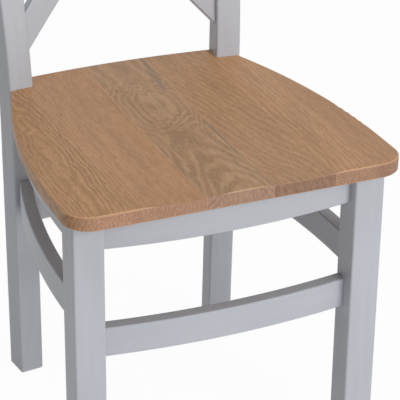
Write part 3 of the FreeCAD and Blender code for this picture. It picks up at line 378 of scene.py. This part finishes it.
def beech(name, colour, way):
    """Bare beech of blocks and dowels: fine rays and faint grain."""
    shader = new_material(name)
    place = shader.place()
    fibre = shader.fibres(place, way, fine=700.0, coarse=60.0, detail=3.0, rough=0.6)
    rays = shader.fibres(place, way, fine=1100.0, coarse=300.0, detail=1.0).band(0.60, 0.70)
    patch = shader.noise(place, scale=14.0)
    tone = shader.coats(
        shade(colour),
        (fibre.band(0.30, 0.70) * 0.6, shade(colour, 0.80)),
        (patch.band(0.40, 0.70) * 0.3, shade(colour, 0.84)),
        (rays * 0.4, shade(colour, 0.62)))
    normal = shader.bump(fibre - rays * 0.5, strength=0.2, distance=0.0004)
    return shader.finish(tone, 0.60 + fibre * 0.12, normal)


def zinc():
    """Zinc-plated steel of the screws: fine turned marks."""
    shader = new_material("zinc_plated_steel")
    place = shader.place()
    marks = shader.noise(place, scale=900.0)
    bloom = shader.noise(place, scale=160.0)
    tone = shader.coats(
        shade((0.62, 0.63, 0.64)),
        (marks.band(0.4, 0.7), shade((0.50, 0.50, 0.50))),
        (bloom.band(0.5, 0.7) * 0.4, shade((0.50, 0.49, 0.44))))
    normal = shader.bump(marks, strength=0.08, distance=0.0001)
    return shader.finish(tone, 0.28 + marks * 0.14, normal, Metallic=1.0)


def dress(node, material):
    """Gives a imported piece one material."""
    mesh = NODES[node].data
    mesh.materials.clear()
    mesh.materials.append(material)


class ChairFinish(bpy.types.PropertyGroup):
    paint_colour: FloatVectorProperty(
        name="Paint", description="Colour of the painted frame", subtype="COLOR", size=3,
        min=0.0, max=1.0, default=(0.481, 0.497, 0.538))
    oak_colour: FloatVectorProperty(
        name="Oak", description="Colour of the oiled oak seat", subtype="COLOR", size=3,
        min=0.0, max=1.0, default=(0.435, 0.240, 0.115))
    beech_colour: FloatVectorProperty(
        name="Beech", description="Colour of the bare blocks and dowels", subtype="COLOR", size=3,
        min=0.0, max=1.0, default=(0.58, 0.41, 0.27))


class ChairStudio(bpy.types.PropertyGroup):
    lens: FloatProperty(
        name="Lens", description="Focal length of the studio camera", unit="CAMERA",
        default=166.6, min=20.0)
    front_power: FloatProperty(
        name="Front softbox", description="Power of the large softbox before the chair",
        unit="POWER", default=116.0, min=0.0)
    top_power: FloatProperty(
        name="Top softbox", description="Power of the softbox above the chair",
        unit="POWER", default=25.0, min=0.0)
    surround: FloatProperty(
        name="Surround", description="Brightness of the white studio as a light",
        subtype="FACTOR", default=0.25, min=0.0, max=1.0)


class CHAIR_OT_stage(bpy.types.Operator):
    """Camera, soft lights, pale floor and white surroundings"""
    bl_idname = "chair.stage"
    bl_label = "Studio"

    def execute(self, context):
        studio = context.scene.chair_studio
        self.add_camera(context, studio)
        self.add_lights(context, studio)
        self.add_surround(context, studio)
        self.add_floor(context)
        context.scene.view_settings.view_transform = "Standard"
        return {"FINISHED"}

    def add_camera(self, context, studio):
        """The photograph's own view."""
        data = bpy.data.cameras.new("studio_camera")
        data.lens = studio.lens
        data.sensor_width = CAMERA_SENSOR
        data.shift_x, data.shift_y = CAMERA_SHIFT
        data.clip_end = CAMERA_REACH
        camera = bpy.data.objects.new("studio_camera", data)
        camera.location = CAMERA_PLACE
        camera.rotation_euler = (math.pi / 2 - CAMERA_ELEVATION, 0.0, CAMERA_AZIMUTH)
        context.scene.collection.objects.link(camera)
        context.scene.camera = camera

    def add_lights(self, context, studio):
        for name, place, size, power in (
            ("front_softbox", FRONT_PLACE, FRONT_SIZE, studio.front_power),
            ("top_softbox", TOP_PLACE, TOP_SIZE, studio.top_power),
        ):
            light = bpy.data.lights.new(name, "AREA")
            light.shape = "SQUARE"
            light.size = size
            light.energy = power
            lamp = bpy.data.objects.new(name, light)
            lamp.location = place
            aim = Vector(LIGHT_AIM) - Vector(place)
            lamp.rotation_euler = aim.to_track_quat("-Z", "Y").to_euler()
            context.scene.collection.objects.link(lamp)

    def add_surround(self, context, studio):
        """White to the camera and in reflections, and a dimmer white as a light."""
        world = bpy.data.worlds.new("studio_surround")
        context.scene.world = world
        shader = Shader(world)
        background = shader.tree.nodes["Background"]
        shader.feed(background.inputs["Color"], WHITE)
        shader.feed(background.inputs["Strength"],
                    shader.shown_white().band(0.0, 1.0, studio.surround, 1.0))

    def add_floor(self, context):
        """Pale floor, shown nearly white but still keeping a part of the chair's shadow."""
        shaped = bmesh.new()
        bmesh.ops.create_grid(shaped, x_segments=1, y_segments=1, size=FLOOR_HALF)
        bmesh.ops.translate(shaped, verts=shaped.verts, vec=(0.0, 0.0, CAD_BOX[0][2]))
        mesh = bpy.data.meshes.new("studio_floor")
        shaped.to_mesh(mesh)
        shaped.free()
        floor = bpy.data.objects.new("studio_floor", mesh)
        context.scene.collection.objects.link(floor)
        shader = new_material("pale_floor")
        grit = shader.noise(shader.place(), scale=3.0)
        shader.finish(shader.blend(grit, shade(WHITE[:3], FLOOR_DARK),
                                   shade(WHITE[:3], FLOOR_PALE)), 0.9)
        white = shader.node("ShaderNodeEmission", {}, Color=WHITE, Strength=1.0)
        lit = Link(shader, shader.tree.nodes["Principled BSDF"].outputs["BSDF"])
        shown = shader.node("ShaderNodeMixShader", {}, shader.shown_white(FLOOR_KEPT), lit, white)
        shader.feed(shader.tree.nodes["Material Output"].inputs["Surface"], shown)
        mesh.materials.append(shader.owner)


class CHAIR_OT_painted_frame(bpy.types.Operator):
    """Satin paint on legs, rails, crossed bars and crest"""
    bl_idname = "chair.painted_frame"
    bl_label = "Painted frame"

    def execute(self, context):
        for node, way in PAINTED.items():
            dress(node, paint(node, context.scene.chair_finish.paint_colour, way))
        return {"FINISHED"}


class CHAIR_OT_oak_seat(bpy.types.Operator):
    """Oiled oak on the six staves of the seat, each cut from its own board"""
    bl_idname = "chair.oak_seat"
    bl_label = "Oak seat"

    # What a board is unless its own row says otherwise, lengths in metres. heart is the place
    # of the tree's heart across the chair and heart_down its depth below the seat's top. It
    # runs aslant by slant, wanders, rises by swell in an eye eye_depth behind the front legs'
    # faces, and by lift towards the front. ring is the width of a year, and rings nearer than
    # core run together. ripple and jag bend the rings, figure is their strength, fleck and
    # blotch that of small and broad marks, end the brightness of the end grain, and tint the
    # board's share of the oak colour. stains are dark streaks: place across, lean, middle,
    # half length, half width and strength.
    common = {"heart": 0.30, "heart_down": 0.05, "slant": 0.0, "eye_depth": 0.2, "eye_half": 0.3,
              "swell": 0.004, "lift": 0.0, "core": -0.1, "ring": 0.0030, "wander": 0.012,
              "ripple": 0.004, "jag": 0.03, "figure": 0.35, "fleck": 0.10, "blotch": 0.20,
              "end": 1.0, "tint": (1.0, 1.0, 1.0), "stains": ()}
    boards = [
        {"heart": -0.192, "heart_down": 0.032, "swell": 0.014, "eye_depth": 0.09,
         "eye_half": 0.16, "wander": 0.034, "ripple": 0.010, "jag": 0.06, "ring": 0.0048,
         "figure": 0.95, "blotch": 0.50, "end": 1.08, "tint": (0.97, 0.93, 0.88)},
        {"heart": -0.20, "heart_down": 0.080, "ring": 0.0032, "figure": 0.38, "blotch": 0.15,
         "end": 0.96, "tint": (1.01, 0.97, 0.96)},
        {"heart": -0.005, "heart_down": 0.062, "swell": 0.028, "eye_depth": 0.245,
         "eye_half": 0.060, "lift": 0.034, "core": 0.0375, "wander": 0.034, "ripple": 0.0075,
         "jag": 0.046, "ring": 0.0066, "figure": 0.84, "blotch": 0.18, "end": 1.00,
         "tint": (0.89, 0.92, 0.96),
         "stains": ((0.0385, 0.0, 0.125, 0.080, 0.0032, 0.66),
                    (0.0390, 0.0, 0.010, 0.060, 0.0018, 0.45),
                    (0.0290, 0.06, 0.330, 0.055, 0.0065, 0.48),
                    (0.0360, 0.0, 0.390, 0.035, 0.0055, 0.34))},
        {"heart": -0.14, "heart_down": 0.034, "slant": 0.24, "ring": 0.0100, "wander": 0.060,
         "ripple": 0.012, "figure": 0.50, "fleck": 0.70, "blotch": 0.60, "end": 0.70,
         "tint": (0.98, 0.96, 0.95)},
        {"heart": 0.090, "heart_down": 0.110, "ring": 0.0040, "figure": 0.50,
         "blotch": 0.15, "end": 0.87, "tint": (1.05, 1.02, 1.02)},
        {"heart": 0.40, "heart_down": 0.060, "ring": 0.0040, "figure": 0.34, "blotch": 0.35,
         "end": 0.80, "tint": (0.96, 0.92, 0.92)},
    ]

    def execute(self, context):
        colour = context.scene.chair_finish.oak_colour
        for number, board in enumerate(self.boards, 1):
            dress(f"seat_stave_{number}", oak(number, colour, {**self.common, **board}))
        return {"FINISHED"}


class CHAIR_OT_hidden_joinery(bpy.types.Operator):
    """Bare beech and plated steel of blocks, dowels and screws"""
    bl_idname = "chair.hidden_joinery"
    bl_label = "Blocks, dowels and screws"

    def execute(self, context):
        colour = context.scene.chair_finish.beech_colour
        for node, way in BLOCKS.items():
            dress(node, beech("bare_beech_" + node, colour, way))
        dowel_wood = beech("bare_beech_dowels", colour, RIGHT)
        steel = zinc()
        for node in DOWELS:
            dress(node, dowel_wood)
        for node in SCREWS:
            dress(node, steel)
        return {"FINISHED"}


class CHAIR_PT_panel(bpy.types.Panel):
    bl_label = "Cross Back Chair"
    bl_idname = "CHAIR_PT_panel"
    bl_space_type = "VIEW_3D"
    bl_region_type = "UI"
    bl_category = "Chair"

    def draw(self, context):
        for group in (context.scene.chair_finish, context.scene.chair_studio):
            for name in group.__annotations__:
                self.layout.prop(group, name)
        for operator in OPERATORS:
            self.layout.operator(operator.bl_idname)


OPERATORS = (CHAIR_OT_stage, CHAIR_OT_painted_frame, CHAIR_OT_oak_seat, CHAIR_OT_hidden_joinery)
CLASSES = (ChairFinish, ChairStudio) + OPERATORS + (CHAIR_PT_panel,)


def register():
    for item in CLASSES:
        bpy.utils.register_class(item)
    bpy.types.Scene.chair_finish = PointerProperty(type=ChairFinish)
    bpy.types.Scene.chair_studio = PointerProperty(type=ChairStudio)


def unregister():
    del bpy.types.Scene.chair_studio
    del bpy.types.Scene.chair_finish
    for item in reversed(CLASSES):
        bpy.utils.unregister_class(item)


def main():
    """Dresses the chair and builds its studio."""
    register()
    bpy.ops.chair.stage()
    bpy.ops.chair.painted_frame()
    bpy.ops.chair.oak_seat()
    bpy.ops.chair.hidden_joinery()


if __name__ == "__main__":
    main()
